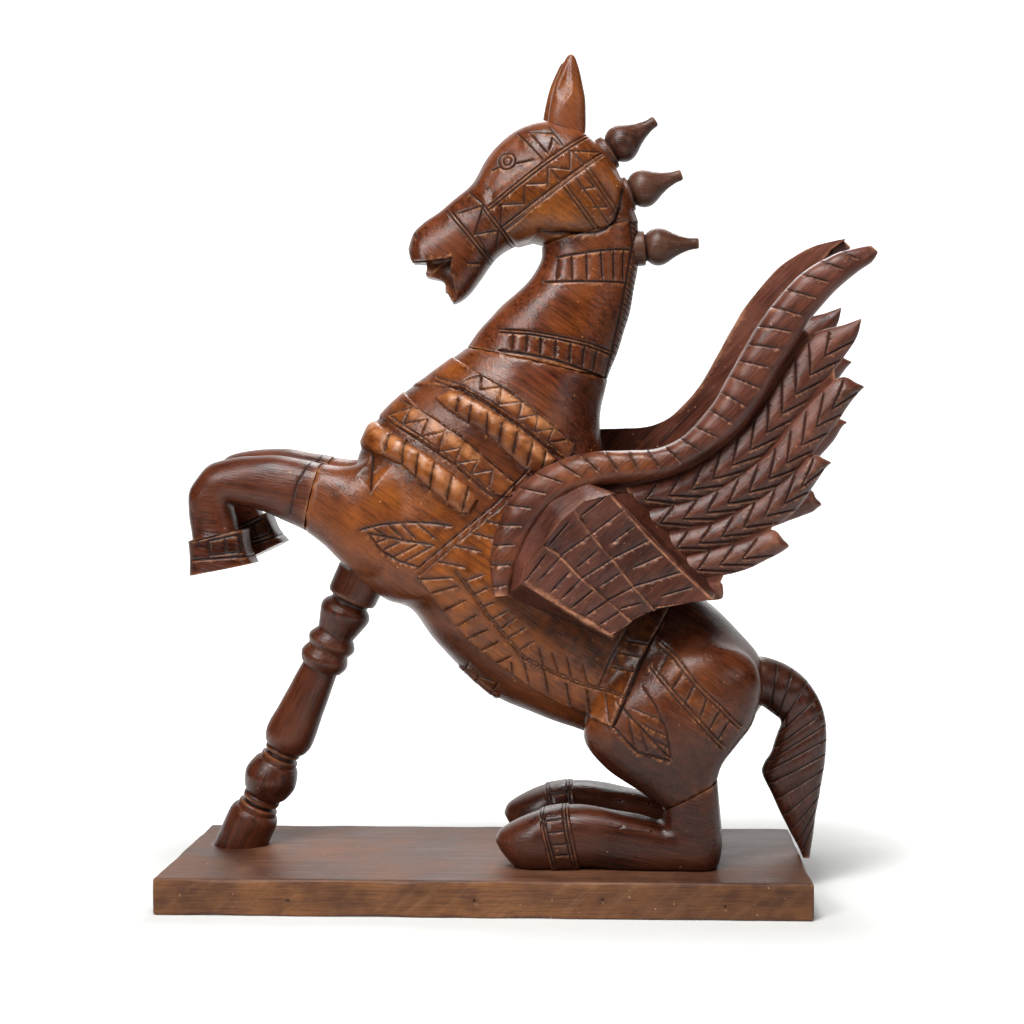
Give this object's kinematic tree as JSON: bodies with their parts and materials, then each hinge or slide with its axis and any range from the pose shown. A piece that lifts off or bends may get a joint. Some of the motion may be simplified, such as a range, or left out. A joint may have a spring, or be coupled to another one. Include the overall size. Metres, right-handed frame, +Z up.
{
  "type": "winged horse ornament",
  "caption": "Carved wooden winged horse kneeling on a plank, forelegs raised, wings folded back, with a leaning turned post under its chest.",
  "frame": {"origin": "centre of the plank's underside", "axes": "+Z up, the horse looks along -X, and its left side is towards -Y"},
  "size_m": [0.5056, 0.1778, 0.609],
  "materials": {
    "carved_wood": "stained and polished, satin",
    "dark_wood": "dark stain, satin",
    "plank_wood": "stained, worn edges",
    "dowel_wood": "bare",
    "screw_steel": "plain"
  },
  "bodies": {
    "root": {"base_plank": "plank_wood", "support_post": "dark_wood", "torso": "carved_wood", "neck": "carved_wood", "head": "carved_wood", "ear_left": "carved_wood", "ear_right": "carved_wood", "mane_finial_upper": "dark_wood", "mane_finial_middle": "dark_wood", "mane_finial_lower": "dark_wood", "foreleg_left": "carved_wood", "foreleg_right": "carved_wood", "hind_leg_left": "carved_wood", "hind_leg_right": "carved_wood", "wing_left": "dark_wood", "wing_right": "dark_wood", "tail": "dark_wood", "head_dowel": "dowel_wood", "neck_dowels": "dowel_wood", "foreleg_dowels": "dowel_wood", "hind_leg_dowels": "dowel_wood", "wing_dowels": "dowel_wood", "base_screws": "screw_steel"}
  },
  "joints": []
}
